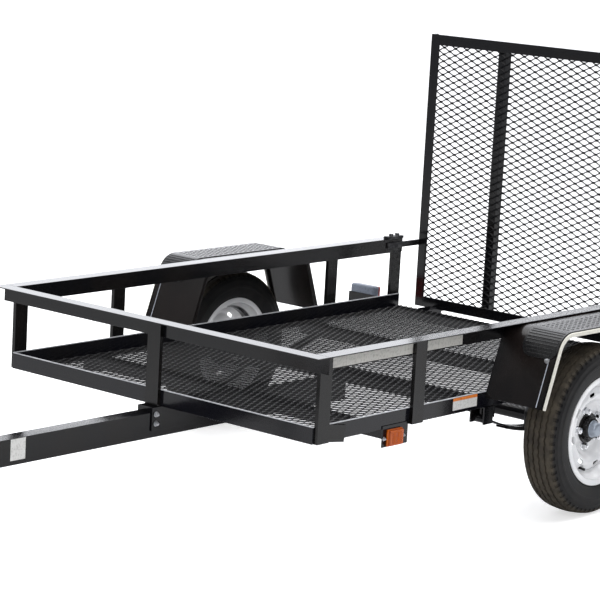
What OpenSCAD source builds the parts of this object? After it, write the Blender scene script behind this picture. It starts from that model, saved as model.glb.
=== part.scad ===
// Single-axle utility trailer with a mesh floor, angle-steel rails and a ramp gate.
// +Z is up, -Y is the front (tongue), +X is the trailer's left side. The floor is z = 0.

/* [Bed] */
// Width between the top rails' upright legs
bed_w = 1219; // [900:1:1500]
// Length from the front rail to the rear end of the side rails
bed_l = 1905; // [1500:1:2600]
// Height of the bed frame's underside above the axle
sill_rise = 78.2; // [60:0.1:160]
// Distance from the top rail's upper face to the lower rail's top edge
rail_drop = 206; // [150:1:240]
// Leg of the steel angle in the rails
leg = 50.8; // [38:0.1:60]
// Wall of the steel angle
leg_t = 3.2; // [2.5:0.1:6]
// Thickness of the floor mesh
mesh_t = 2; // [1.5:0.5:6]
// Leg of the crossmember angle
cross_leg = 38; // [30:1:50]
// Width of a post
post_w = 50.8; // [30:0.1:60]
// Depth of a post
post_d = 13; // [8:1:25]
// Distance from the axle to the crossmember ahead of it
cross_ahead = 275; // [80:1:500]
// Distance from the axle to the crossmember behind it
cross_behind = 235; // [80:1:500]
// Distance from the front rail to the first crossmember
cross_first = 340; // [200:1:500]
// Distance from the front rail to the middle of a corner post
post_first = 29; // [26:1:120]
// Distance from a fender's front foot to the middle of the post ahead of it
post_ahead = 340; // [60:1:420]
// Distance from a fender's rear foot to the middle of the post behind it
post_behind = 65; // [40:1:200]

/* [Tongue] */
// Distance from the front rail to the coupler's nose
tongue_out = 1020; // [800:1:1500]
// Width of the tongue tube
tongue_w = 50.8; // [45:0.1:80]
// Height of the tongue tube
tongue_h = 76.2; // [60:0.1:110]
// Wall of the tongue tube
tongue_t = 3.2; // [2.5:0.1:6]
// Gap between the front rail and the tongue's top, filled by the bracket
tongue_drop = 15; // [6:1:30]
// Radius of the hitch ball
ball_r = 25.4; // [23.8:0.1:29.4]

/* [Wheels] */
// Outer radius of the tyre
tyre_r = 265; // [230:1:310]
// Width of the tyre
tyre_w = 124; // [100:1:180]
// Radius of the rim's flange
rim_r = 172; // [150:1:200]
// Gap between the bed frame's side and the tyre
tyre_gap = 91.3; // [50:0.1:160]
// Distance from the bed's rear end to the axle
axle_back = 780; // [600:1:1100]
// Radius of the axle tube
axle_r = 22; // [18:1:30]
// Radius of the spindle
spindle_r = 13.5; // [10:0.1:18]
// Radius of the lug circle
lug_r = 57.15; // [50:0.05:70]

/* [Fender] */
// Width of a fender
fender_w = 218; // [180:1:280]
// Length of a fender at its foot
fender_l = 660; // [600:1:900]
// Length of a fender's flat top
fender_top_l = 500; // [300:1:560]
// Height of a fender
fender_h = 220; // [150:1:260]
// Thickness of the fender sheet
fender_t = 2.5; // [1.5:0.1:5]

/* [Gate] */
// Height of the ramp gate
gate_h = 1000; // [700:1:1300]
// Distance that each side of the gate lies inside the bed's width
gate_inset = 11.5; // [5:0.5:40]
// Space between the bed's rear end and the gate
gate_gap = 80; // [60:1:120]
// Leg of the gate's steel angle
gate_leg = 38.1; // [30:0.1:50]
// Distance from the centre line to an inner gate post
gate_post_x = 283; // [150:1:400]
// Radius of the gate's hinge pin
hinge_pin_r = 8; // [6:0.5:12]
// Distance from the gate's side to the middle of a hinge
hinge_inset = 103; // [60:1:200]

/* [Jack] */
// Distance from the front rail to the jack
jack_y = 700; // [600:1:720]
// Radius of the jack's outer tube
jack_r = 25; // [20:1:30]
// Length of the jack's outer tube
jack_l = 380; // [300:1:460]
// Radius of the jack's foot
foot_r = 50; // [40:1:55]

/* [Hidden] */
$fn = 48;

paint = "#16181c";
run_gap = 0.06;                       // radial clearance of a running shaft
seat_gap = 0.3;                       // clearance between curved faces that meet

frame_x = bed_w / 2 + leg_t;          // outer face of the rails' upright legs
rail_out_x = bed_w / 2 + leg;         // outer edge of the top rail
sill_z = tyre_r + sill_rise;          // underside of the bed frame
sill_top = sill_z + leg;
rail_z = sill_top + rail_drop;        // upper face of the top rail
mesh_z = sill_z + leg_t;              // underside of the floor mesh
axle_y = bed_l - axle_back;
cross_y = [cross_first, axle_y - cross_ahead, axle_y + cross_behind];
track_x = frame_x + tyre_gap + tyre_w / 2;
gate_y = bed_l + gate_gap;            // front face of the gate
gate_w = bed_w - 2 * gate_inset;
hinge_x = gate_w / 2 - hinge_inset;
tongue_top = sill_z - tongue_drop;
tongue_mid = tongue_top - tongue_h / 2;
ball_shell_r = ball_r + 10;            // outer radius of the coupler's nose
ball_y = ball_shell_r - tongue_out;   // centre of the hitch ball
ball_z = tongue_top - 18;
tongue_front = ball_y + ball_shell_r + 1;
y_mid = (bed_l + gate_gap + gate_leg - tongue_out) / 2;   // middle of the whole length

spring_half = 305;                    // from the axle to a spring's eye
spring_w = 44;
leaf_t = 6;
spring_x = frame_x - leg / 2;
eye_r = 13;
eye_pin_r = 7;
spring_seat = tyre_r - axle_r;        // top of the spring pack under the axle
spring_rise = sill_z - 42 - spring_seat + leaf_t;
hanger_t = 5;

post_bottom = sill_z;
post_y = [post_first, axle_y - fender_l / 2 - post_ahead, axle_y + fender_l / 2 + post_behind,
  bed_l - post_w / 2];
plate_l = 76;                         // plate behind each corner post, its rear end tipped down
plate_t = 5;
plate_tip = 7.5;
post_h = rail_z - leg_t - post_bottom;

hub_face = track_x;                   // outer face of the hub flange
rim_half_w = 57;

fender_x = frame_x + 0.2;             // inner edge of a fender
fender_z = rail_z - leg_t - 2 - fender_t;

marker_y = cross_first + 22;
tail_y = bed_l - 110;

hinge_y = gate_y - 14;
hinge_z = sill_z - 4;
knuckle_r = hinge_pin_r + 5;
knuckle_w = 30;

jack_x = tongue_w / 2 + 60;
latch_t = 6.5;
jack_pivot_z = tongue_mid;
jack_bottom = 150;                    // lower end of the jack's outer tube
jack_inner_r = jack_r - 3;
pivot_r = 12;

// Moves a piece from the bed's own lengths (y = 0 at the front rail) to the part's frame
module bed() { translate([0, -y_mid, 0]) children(); }

// Draws a piece on both sides, each the mirror image of the other
module both_sides() {
  children();
  mirror([1, 0, 0]) children();
}

// An angle's section, corner at the origin, legs along +x and +y
module angle_section(a, t) {
  polygon([[0, 0], [a, 0], [a, t], [t, t], [t, a], [0, a]]);
}

// Runs a section drawn in x and z along +y
module along_y(l) {
  translate([0, l, 0]) rotate([90, 0, 0]) linear_extrude(l) children();
}

// Runs a section drawn in y and z along +x
module along_x(l) {
  rotate([90, 0, 90]) linear_extrude(l) children();
}

// A box centred on x and y, standing on z = 0
module block(w, d, h) {
  translate([-w / 2, -d / 2, 0]) cube([w, d, h]);
}

// A round bar along +x
module bar_x(r, l) {
  rotate([0, 90, 0]) cylinder(r = r, h = l);
}

// ---- bed ----

module side_sill() {
  translate([frame_x, 0, sill_z]) mirror([1, 0, 0]) along_y(bed_l) angle_section(leg, leg_t);
}

module left_sill() { color(paint) bed() side_sill(); }

module right_sill() { color(paint) bed() mirror([1, 0, 0]) side_sill(); }

module front_sill() {
  color(paint) bed() {
    translate([-frame_x, -leg_t, sill_z]) cube([2 * frame_x, leg_t, leg]);
    translate([leg - frame_x, -leg_t, sill_z]) cube([2 * (frame_x - leg), leg, leg_t]);
  }
}

module rear_sill() {
  inner = frame_x - leg;
  color(paint) bed() translate([-inner, bed_l, sill_z]) mirror([0, 1, 0]) {
    cube([2 * inner, leg, leg_t]);
    translate([0, 0, leg_t - cross_leg]) cube([2 * inner, leg_t, cross_leg]);
  }
}

// Crossmembers hang under the sills; the tongue splits those it passes
module crossmembers() {
  half = frame_x;
  color(paint) bed() for (y = cross_y)
    difference() {
      translate([-half, y, sill_z]) mirror([0, 0, 1]) along_x(2 * half)
        angle_section(cross_leg, leg_t);
      if (y < cross_y[1])
        translate([-tongue_w / 2, y - 1, sill_z - tongue_drop - tongue_h])
          cube([tongue_w, cross_leg + 2, tongue_h]);
    }
}

module floor_mesh() {
  w = bed_w - 1;
  color("#3a3d42") bed() translate([-w / 2, 0.5, mesh_z]) cube([w, bed_l - 1, mesh_t]);
}

module side_top_rail() {
  translate([bed_w / 2, 0, rail_z]) mirror([0, 0, 1]) along_y(bed_l) angle_section(leg, leg_t);
}

module left_top_rail() { color(paint) bed() side_top_rail(); }

module right_top_rail() { color(paint) bed() mirror([1, 0, 0]) side_top_rail(); }

module front_top_rail() {
  color(paint) bed()
    translate([-rail_out_x, 0, rail_z]) mirror([0, 1, 0]) mirror([0, 0, 1])
      along_x(2 * rail_out_x) angle_section(leg, leg_t);
}

module post(l) { cube([post_d, l, post_h]); }

module side_posts() {
  for (y = post_y)
    translate([frame_x, y - post_w / 2, post_bottom]) post(post_w);
  translate([frame_x, post_first + post_w / 2 + 1, post_bottom]) rotate([-plate_tip, 0, 0])
    cube([plate_t, plate_l, leg - 1]);
}

module left_posts() { color(paint) bed() side_posts(); }

module right_posts() { color(paint) bed() mirror([1, 0, 0]) side_posts(); }

module front_post() {
  color(paint) bed()
    translate([-post_w / 2, -leg_t - post_d, post_bottom]) cube([post_w, post_d, post_h]);
}

// ---- tongue ----

module tongue() {
  l = cross_y[1] - tongue_front;
  color(paint) bed() translate([0, tongue_front, tongue_top - tongue_h]) difference() {
    translate([-tongue_w / 2, 0, 0]) cube([tongue_w, l, tongue_h]);
    translate([-tongue_w / 2 + tongue_t, -1, tongue_t])
      cube([tongue_w - 2 * tongue_t, l + 2, tongue_h - 2 * tongue_t]);
  }
}

// A channel over the tongue that fills the space up to the front sill
module tongue_bracket() {
  l = 190;
  t = 5;
  w = tongue_w + 2 * t;
  color(paint) bed() translate([0, -40, 0]) {
    translate([-w / 2, 0, tongue_top]) cube([w, l, tongue_drop]);
    for (x = [-w / 2, tongue_w / 2])
      translate([x, 0, tongue_top - 55]) cube([t, l, 55]);
  }
}

module coupler() {
  t = 4;
  w = tongue_w + 2 * t;
  color("#2a2c30") bed() difference() {
    union() {
      translate([-w / 2, ball_y + 22, tongue_top]) cube([w, 190, t]);
      for (x = [-w / 2, tongue_w / 2])
        translate([x, ball_y + 22, tongue_top - 60]) cube([t, 190, 60]);
      translate([0, ball_y, ball_z - 16]) cylinder(r = ball_shell_r, h = 18 + t + 16);
    }
    translate([0, ball_y, ball_z - 17]) cylinder(r = ball_r + 0.4, h = 17.5);
    translate([0, ball_y, ball_z]) sphere(r = ball_r + 0.4);
  }
}

// The lever and its pivot block on the coupler's top
module coupler_latch() {
  color("#8d9094") bed() translate([0, ball_y, tongue_top + 4]) {
    translate([-10, 20, 0]) cube([20, 50, 14]);
    translate([-8, 30, 14]) cube([16, 110, 5]);
  }
}

// ---- fenders ----

// Points of a rounded shoulder with radius r round c, from the angle a0 to a1 in n steps
function shoulder(r, n, a0, a1, c) = [for (i = [0:n]) let(a = a0 + (a1 - a0) * i / n)
  [c[0] + r * cos(a), c[1] + r * sin(a)]];

// Outline of a fender seen from the side, grown inward by d
module fender_outline(d) {
  slope = atan2(fender_h, (fender_l - fender_top_l) / 2);
  r = 70 - d;
  reach = 70 * tan(slope / 2);
  top = fender_top_l / 2;
  base = fender_l / 2;
  front = shoulder(r, 8, 90 + slope, 90, [-top + reach, fender_h - 70]);
  rear = [for (p = front) [-p[0], p[1]]];
  foot = d / sin(slope);
  polygon(concat([[-base + foot, 0]], front, [for (i = [len(rear) - 1:-1:0]) rear[i]],
    [[base - foot, 0]]));
}

module side_fender() {
  lip = 12;
  translate([fender_x, axle_y, fender_z + fender_t - fender_h]) {
    difference() {
      along_x(fender_w) fender_outline(0);
      translate([-1, 0, -0.01]) along_x(fender_w + 2) fender_outline(fender_t);
    }
    for (x = [0, fender_w - fender_t])
      translate([x, 0, 0]) difference() {
        along_x(fender_t) fender_outline(fender_t - 0.1);
        translate([-1, 0, -0.01]) along_x(fender_t + 2) fender_outline(fender_t + lip);
      }
  }
}

module left_fender() { color(paint) bed() side_fender(); }

module right_fender() { color(paint) bed() mirror([1, 0, 0]) side_fender(); }

// Ribbed pads on the fenders' tops
module step_pads() {
  color("#1b1b1c") bed() both_sides()
    translate([rail_out_x + 8, axle_y - fender_top_l / 2 + 45, fender_z + fender_t])
      cube([fender_w - (rail_out_x - frame_x) - 14, fender_top_l - 90, 3]);
}

// ---- axle and springs ----

module axle() {
  color(paint) bed() translate([0, axle_y, tyre_r]) {
    translate([-track_x + 90, 0, 0]) bar_x(axle_r, 2 * track_x - 180);
    both_sides() translate([track_x - 92, 0, 0]) bar_x(spindle_r, 112);
  }
}

// A point of the main leaf: i runs from -8 to 8 along its arc, d is the height above its lower face
function leaf_point(i, d) =
  let(r = (pow(spring_half, 2) + pow(spring_rise, 2)) / (2 * spring_rise),
    a = asin(spring_half / r) * i / 8)
  [(r - d) * sin(a), r - (r - d) * cos(a)];

// Main leaf with a shorter leaf under its middle
module leaf_pack() {
  polygon(concat([for (i = [-8:8]) leaf_point(i, leaf_t)], [for (i = [8:-1:5]) leaf_point(i, 0)],
    [for (i = [5:-1:-5]) leaf_point(i, -leaf_t)], [for (i = [-5:-1:-8]) leaf_point(i, 0)]));
}

module side_spring() {
  translate([spring_x - spring_w / 2, axle_y, spring_seat - leaf_t]) difference() {
    union() {
      along_x(spring_w) leaf_pack();
      for (s = [-1, 1])
        translate([0, s * spring_half, spring_rise]) bar_x(eye_r, spring_w);
    }
    for (s = [-1, 1])
      translate([-1, s * spring_half, spring_rise]) bar_x(eye_pin_r, spring_w + 2);
  }
}

module left_spring() { color(paint) bed() side_spring(); }

module right_spring() { color(paint) bed() mirror([1, 0, 0]) side_spring(); }

// Channel hangers under the sills with the pin that each spring eye turns on
module spring_hangers() {
  l = 46;
  eye_z = spring_seat - leaf_t + spring_rise;
  h = sill_z - eye_z + eye_r;
  gap = spring_w / 2 + seat_gap;
  color(paint) bed() both_sides() for (s = [-1, 1])
    translate([spring_x, axle_y + s * spring_half, eye_z]) {
      for (x = [-gap - hanger_t, gap])
        translate([x, -l / 2, -eye_r]) cube([hanger_t, l, h]);
      translate([-gap, -l / 2, h - eye_r - 4]) cube([2 * gap, l, 4]);
      translate([-gap, 0, 0]) bar_x(eye_pin_r - 0.1, 2 * gap);
    }
}

// Plates and bolts that clamp each spring to the axle
module axle_clamps() {
  w = 2 * axle_r + 34;
  plate_t = 8;
  pack = 2 * leaf_t;
  color("#54575c") bed() both_sides() translate([spring_x, axle_y, spring_seat - pack]) {
    translate([0, 0, -plate_t]) block(spring_w + 30, w, plate_t);
    for (x = [-spring_w / 2 - 8, spring_w / 2 + 8]) {
      for (y = [-axle_r - 6, axle_r + 6])
        translate([x, y, 0]) cylinder(r = 5, h = pack + axle_r);
      translate([x, 0, pack + axle_r]) rotate([90, 0, 90]) difference() {
        translate([0, 0, -5]) cylinder(r = axle_r + 11, h = 10);
        translate([0, 0, -6]) cylinder(r = axle_r + 1, h = 12);
        translate([-100, -100, -6]) cube([200, 100, 12]);
      }
    }
  }
}

// ---- wheels ----

module hub_body() {
  color("#202226") difference() {
    union() {
      translate([track_x - 62, 0, 0]) bar_x(33, 62);
      translate([hub_face - 9, 0, 0]) bar_x(72, 9);
      translate([hub_face, 0, 0]) bar_x(31, 26);
      translate([hub_face + 26, 0, 0]) bar_x(23, 22);
      for (i = [0:4]) rotate([i * 72 + 18, 0, 0])
        translate([hub_face - 1, lug_r, 0]) bar_x(6, 24);
    }
    translate([track_x - 63, 0, 0]) bar_x(spindle_r + run_gap, 84);
  }
}

// Revolves a section about the wheel's axle; points are [along the axle, radius]
module revolve_x(points) {
  rotate([90, 0, 90]) rotate_extrude($fn = 96) polygon([for (p = points) [p[1], p[0]]]);
}

// The barrel that the tyre sits on
function barrel_points() = let(h = rim_half_w, r = rim_r, b = rim_r - 17, t = 4)
  [[-h, r], [-h, b], [12 - h, b - 2], [-16, b - 22], [14, b - 22], [h - 12, b - 2], [h, b], [h, r],
   [h - t, r], [h - t, b + t], [h - 13, b + t - 2], [15, b + t - 22], [-17, b + t - 22],
   [13 - h, b + t - 2], [t - h, b + t], [t - h, r]];

// The dished disc between the hub and the barrel
function disc_points() = let(b = rim_r - 17)
  [[0, 35], [4, 35], [4, 80], [30, 98], [30, 122], [14, b - 21], [9, b - 21], [25, 120],
   [25, 101], [0, 84]];

module rim_body() {
  color("#f2f2f0") difference() {
    union() {
      revolve_x(barrel_points());
      revolve_x(disc_points());
    }
    for (i = [0:7]) rotate([i * 45, 0, 0]) translate([0, 0, 110]) bar_x(9, 60);
    for (i = [0:4]) rotate([i * 72 + 18, 0, 0]) translate([-1, lug_r, 0]) bar_x(6.5, 8);
  }
}

function tyre_points() = let(h = tyre_w / 2, w = rim_half_w - 4.3, b = rim_r - 12.7)
  [[-w, b], [-w, rim_r + 4], [-h, rim_r + 30], [3 - h, tyre_r - 26], [15 - h, tyre_r - 6],
   [-24, tyre_r], [24, tyre_r], [h - 15, tyre_r - 6], [h - 3, tyre_r - 26], [h, rim_r + 30],
   [w, rim_r + 4], [w, b]];

module tyre_body() { color("#232323") revolve_x(tyre_points()); }

module at_wheel(side) {
  bed() translate([0, axle_y, tyre_r]) mirror([side < 0 ? 1 : 0, 0, 0]) children();
}

module left_hub() { at_wheel(1) hub_body(); }

module right_hub() { at_wheel(-1) hub_body(); }

module left_rim() { at_wheel(1) translate([track_x, 0, 0]) rim_body(); }

module right_rim() { at_wheel(-1) translate([track_x, 0, 0]) rim_body(); }

module left_tyre() { at_wheel(1) translate([track_x, 0, 0]) tyre_body(); }

module right_tyre() { at_wheel(-1) translate([track_x, 0, 0]) tyre_body(); }

// ---- lamps ----

// Amber lamp on each side, under the sill just ahead of the first post
module marker_lamps() {
  color("#e07010") bed() both_sides()
    translate([frame_x + 3, marker_y - 38, sill_z - 52]) cube([16, 66, 50]);
}

module tail_lamps() {
  color("#b01818") bed() both_sides()
    translate([frame_x + 30, tail_y, sill_z - 10]) cube([110, 46, 88]);
}

// Folded plates that carry the lamps on the sills' outer faces
module lamp_brackets() {
  t = 3;
  color(paint) bed() both_sides() {
    translate([frame_x, marker_y - 56, sill_z - 54]) cube([t, 118, 64]);
    translate([frame_x, tail_y - t, sill_z - 12]) cube([144, t, 60]);
  }
}

// ---- ramp gate ----

module gate_stiles() {
  color(paint) bed() both_sides()
    translate([gate_w / 2, gate_y, sill_z]) mirror([1, 0, 0])
      linear_extrude(gate_h) angle_section(gate_leg, leg_t);
}

// A gate rail lies between the stiles, its flange at the height z0 and turned up or down by s
module gate_rail(z0, s) {
  l = 2 * (gate_w / 2 - gate_leg);
  translate([-l / 2, gate_y, z0]) mirror([0, 0, s < 0 ? 1 : 0]) along_x(l)
    angle_section(gate_leg, leg_t);
}

module gate_top_bar() { color(paint) bed() gate_rail(sill_z + gate_h, -1); }

module gate_bottom_bar() { color(paint) bed() gate_rail(sill_z, 1); }

// Uprights behind the gate's mesh
module gate_posts() {
  z0 = sill_z + leg_t;
  color(paint) bed() for (x = [-gate_post_x, gate_post_x])
    translate([x, gate_y + leg_t + mesh_t, z0])
      mirror([x < 0 ? 1 : 0, 0, 0]) linear_extrude(gate_h - 2 * leg_t)
        translate([-gate_leg / 2, 0]) angle_section(gate_leg - leg_t - mesh_t, leg_t);
}

module gate_mesh() {
  half = gate_w / 2 - leg_t;
  color("#3a3d42") bed()
    translate([-half, gate_y + leg_t, sill_z + leg_t])
      cube([2 * half, mesh_t, gate_h - 2 * leg_t]);
}

// Straps welded under the gate's bottom bar, rolled round the hinge pins
module gate_hinge_straps() {
  t = 6;
  color("#2b2d31") bed() both_sides() translate([hinge_x, 0, 0]) difference() {
    union() {
      translate([-knuckle_w / 2, hinge_y, hinge_z]) bar_x(knuckle_r, knuckle_w);
      translate([-knuckle_w / 2, hinge_y, sill_z - t]) cube([knuckle_w, 14 + gate_leg, t]);
    }
    translate([-knuckle_w / 2 - 1, hinge_y, hinge_z]) bar_x(hinge_pin_r + run_gap, knuckle_w + 2);
  }
}

// Arms from the rear sill with the pins that the straps turn on
module gate_hinge_ears() {
  t = 8;
  side_gap = 1;
  ear = knuckle_w / 2 + side_gap;
  h = 2 * knuckle_r;
  color(paint) bed() both_sides() translate([hinge_x, 0, 0]) {
    for (x = [-ear - t, ear])
      translate([x, 0, 0]) {
        translate([0, bed_l, hinge_z - knuckle_r]) cube([t, hinge_y - bed_l, h]);
        translate([0, hinge_y, hinge_z]) bar_x(knuckle_r, t);
      }
    translate([-ear, hinge_y, hinge_z]) bar_x(hinge_pin_r, 2 * ear);
  }
}

// Bars on the top rails' ends that the gate's stiles latch to
module gate_latches() {
  w = 24;
  h = 10;
  arm_h = 20;
  arm_drop = 33;
  back = bed_l - 90;
  color("#2b2d31") bed() both_sides() translate([frame_x - leg_t - latch_t, back, rail_z]) {
    cube([w, 86, h]);
    for (y = [28, 62]) translate([w / 2, y, 0]) cylinder(r = 8, h = h + 8);
    translate([0, 0, -arm_drop]) cube([latch_t, gate_y + 19 - back, arm_h]);
  }
}

// ---- jack ----

// The jack stands on the tongue's right side
module at_jack() { bed() mirror([1, 0, 0]) translate([jack_x, -jack_y, 0]) children(); }

// Plate on the tongue's side with the pivot that the jack swings on
module jack_mount() {
  t = 8;
  color("#54575c") bed() mirror([1, 0, 0]) translate([tongue_w / 2, -jack_y, jack_pivot_z]) {
    translate([0, -50, -tongue_h / 2]) cube([t, 100, tongue_h]);
    bar_x(pivot_r, jack_x - tongue_w / 2 - jack_r - 3);
  }
}

module jack_tube() {
  collar_x = tongue_w / 2 + 8 + 1 - jack_x;
  color("#c9ccd0") at_jack() difference() {
    union() {
      translate([0, 0, jack_bottom]) cylinder(r = jack_r, h = jack_l);
      translate([collar_x, 0, jack_pivot_z]) bar_x(pivot_r + 12, -collar_x);
      translate([0, 0, jack_bottom + jack_l]) cylinder(r = jack_r + 4, h = 12);
    }
    translate([0, 0, jack_bottom - 1]) cylinder(r = jack_inner_r, h = jack_l - 8);
    translate([collar_x - 1, 0, jack_pivot_z])
      bar_x(pivot_r + run_gap, -collar_x - jack_r - 2 + 1);
  }
}

module jack_crank() {
  top = jack_bottom + jack_l + 12;
  color("#2b2d31") at_jack() {
    translate([0, 0, top]) cylinder(r = 8, h = 14);
    translate([-9, -9, top + 14]) cube([130, 18, 6]);
    translate([112, 0, top + 20]) cylinder(r = 10, h = 70);
  }
}

module jack_leg() {
  r = jack_inner_r - run_gap;
  color("#b5b8bc") at_jack() {
    translate([0, 0, 6]) cylinder(r = r, h = jack_bottom + 210);
    cylinder(r = foot_r, h = 6);
  }
}

front_sill();
left_sill();
right_sill();
rear_sill();
crossmembers();
floor_mesh();
front_top_rail();
left_top_rail();
right_top_rail();
front_post();
left_posts();
right_posts();
tongue();
tongue_bracket();
coupler();
coupler_latch();
left_fender();
right_fender();
step_pads();
axle();
left_spring();
right_spring();
spring_hangers();
axle_clamps();
left_hub();
left_rim();
left_tyre();
right_hub();
right_rim();
right_tyre();
marker_lamps();
tail_lamps();
lamp_brackets();
gate_stiles();
gate_posts();
gate_top_bar();
gate_bottom_bar();
gate_mesh();
gate_hinge_straps();
gate_hinge_ears();
gate_latches();
jack_mount();
jack_tube();
jack_crank();
jack_leg();
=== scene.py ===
"""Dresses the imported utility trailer: mesh, wheels, fenders, lamps, finishes and studio."""

import math

import bpy
from mathutils import Matrix, Vector


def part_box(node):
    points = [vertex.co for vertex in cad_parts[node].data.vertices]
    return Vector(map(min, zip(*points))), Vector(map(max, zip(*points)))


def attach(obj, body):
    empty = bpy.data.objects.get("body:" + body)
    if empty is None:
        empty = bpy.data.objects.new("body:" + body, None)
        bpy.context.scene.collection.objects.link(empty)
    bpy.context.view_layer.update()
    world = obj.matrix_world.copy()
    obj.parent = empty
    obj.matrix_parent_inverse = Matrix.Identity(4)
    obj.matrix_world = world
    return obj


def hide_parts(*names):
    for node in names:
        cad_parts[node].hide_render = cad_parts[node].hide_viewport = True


bl_info = {
    "name": "Utility trailer",
    "version": (1, 0, 0),
    "blender": (4, 5, 0),
    "location": "View3D > Sidebar > Trailer",
    "description": "Builds the visible pieces and finishes of a mesh-floor utility trailer",
    "category": "Add Mesh",
}

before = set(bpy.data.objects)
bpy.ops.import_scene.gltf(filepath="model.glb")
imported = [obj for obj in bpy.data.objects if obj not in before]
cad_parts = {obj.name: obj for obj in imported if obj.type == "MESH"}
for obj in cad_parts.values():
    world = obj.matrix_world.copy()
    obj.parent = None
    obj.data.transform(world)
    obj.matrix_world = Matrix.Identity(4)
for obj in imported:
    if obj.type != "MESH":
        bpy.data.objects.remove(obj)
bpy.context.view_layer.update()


# ---- modelling helpers ----


def object_mode():
    if bpy.context.object and bpy.context.object.mode != "OBJECT":
        bpy.ops.object.mode_set(mode="OBJECT")


def deselect():
    object_mode()
    bpy.ops.object.select_all(action="DESELECT")


def activate(piece):
    """Makes the piece the only selected and active object."""
    deselect()
    piece.select_set(True)
    bpy.context.view_layer.objects.active = piece


def settle(piece):
    """Puts the piece's place, turn and size into its mesh."""
    activate(piece)
    bpy.ops.object.transform_apply(location=True, rotation=True, scale=True)


def edit_all(piece):
    """Goes into edit mode on the piece, with all of it selected."""
    activate(piece)
    bpy.ops.object.mode_set(mode="EDIT")
    bpy.ops.mesh.select_mode(type="VERT")
    bpy.ops.mesh.select_all(action="SELECT")


def pick(piece, kind, test):
    """Selects the faces or vertices that pass the test, and stays in edit mode."""
    object_mode()
    bpy.context.view_layer.objects.active = piece
    bpy.ops.object.mode_set(mode="EDIT")
    bpy.ops.mesh.select_mode(type=kind)
    bpy.ops.mesh.select_all(action="DESELECT")
    object_mode()
    if kind == "FACE":
        for face in piece.data.polygons:
            face.select = bool(test(face.center, face.normal))
    else:
        for vertex in piece.data.vertices:
            vertex.select = bool(test(vertex.co))
    bpy.ops.object.mode_set(mode="EDIT")


def modify(piece, kind, **settings):
    """Adds a modifier, sets it and applies it."""
    activate(piece)
    modifier = piece.modifiers.new(kind.title(), kind)
    for key, value in settings.items():
        setattr(modifier, key, value)
    bpy.ops.object.modifier_apply(modifier=modifier.name)


def bevel(piece, width, segments=2, degrees=50):
    """Eases the edges that turn by more than the angle."""
    modify(
        piece,
        "BEVEL",
        width=width,
        segments=segments,
        limit_method="ANGLE",
        angle_limit=math.radians(degrees),
    )


def repeat(piece, count, step, **settings):
    """Repeats the piece in a row, each copy one step further."""
    modify(
        piece,
        "ARRAY",
        count=count,
        use_relative_offset=False,
        use_constant_offset=True,
        constant_offset_displace=step,
        **settings,
    )


def sink(piece, test, border, depth, each=False):
    """Insets the faces that pass the test and pushes them in."""
    pick(piece, "FACE", test)
    bpy.ops.mesh.inset(thickness=border, depth=-depth, use_individual=each)
    object_mode()


def clean(piece, distance=1e-5):
    """Merges doubled points and turns all faces outwards."""
    edit_all(piece)
    bpy.ops.mesh.remove_doubles(threshold=distance)
    bpy.ops.mesh.normals_make_consistent(inside=False)
    object_mode()
    return piece


def smooth(piece, degrees=35):
    activate(piece)
    bpy.ops.object.shade_smooth_by_angle(angle=math.radians(degrees))
    return piece


def block(name, lo, hi, edge=0.0008, segments=2):
    """A bar or plate between two corners, with eased edges."""
    deselect()
    lo, hi = Vector(lo), Vector(hi)
    bpy.ops.mesh.primitive_cube_add(size=1, location=(lo + hi) / 2, scale=hi - lo)
    piece = bpy.context.object
    piece.name = name
    settle(piece)
    if edge:
        modify(piece, "BEVEL", width=edge, segments=segments, limit_method="NONE")
    return piece


def rod(name, a, b, radius, sides=16, edge=0.0):
    """A round bar from a to b."""
    deselect()
    a, b = Vector(a), Vector(b)
    bpy.ops.mesh.primitive_cylinder_add(
        vertices=sides, radius=radius, depth=(b - a).length, location=(a + b) / 2
    )
    piece = bpy.context.object
    piece.name = name
    piece.rotation_mode = "QUATERNION"
    piece.rotation_quaternion = (b - a).to_track_quat("Z", "Y")
    settle(piece)
    if edge:
        bevel(piece, edge)
    return smooth(piece, 40)


def join(name, pieces):
    """Joins the pieces into one object."""
    deselect()
    for p in pieces:
        p.select_set(True)
    bpy.context.view_layer.objects.active = pieces[0]
    if len(pieces) > 1:
        bpy.ops.object.join()
    pieces[0].name = name
    return pieces[0]


def copy_at(piece, name, matrix):
    """A copy with its own mesh, placed by a matrix."""
    deselect()
    twin = piece.copy()
    twin.data = piece.data.copy()
    twin.name = name
    bpy.context.scene.collection.objects.link(twin)
    twin.data.transform(matrix)
    if matrix.determinant() < 0:
        clean(twin, 1e-7)
    return twin


def chain(name, points):
    """A line of edges through the points, drawn by extruding one vertex."""
    deselect()
    bpy.ops.mesh.primitive_plane_add(size=0.001, location=(0, 0, 0))
    piece = bpy.context.object
    piece.name = name
    edit_all(piece)
    bpy.ops.mesh.merge(type="CENTER")
    bpy.ops.transform.translate(value=points[0])
    for a, b in zip(points, points[1:]):
        step = Vector(b) - Vector(a)
        bpy.ops.mesh.extrude_region_move(TRANSFORM_OT_translate={"value": step})
    object_mode()
    return piece


def lathe(name, points, steps, centre):
    """Spins a closed section of (along, radius) points about a line along x."""
    loop = [*points, points[0]]
    piece = chain(name, [centre + Vector((x, 0, r)) for x, r in loop])
    edit_all(piece)
    bpy.ops.mesh.spin(steps=steps, angle=2 * math.pi, center=centre, axis=(1, 0, 0))
    object_mode()
    return clean(piece, 2e-5)


def finish_piece(piece, body, material, replaces=()):
    """Gives a finished piece its body, slot, material and the nodes it stands for."""
    object_mode()
    piece.data.materials.clear()
    piece.data.materials.append(material)
    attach(piece, body)
    if replaces:
        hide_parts(*replaces)


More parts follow.
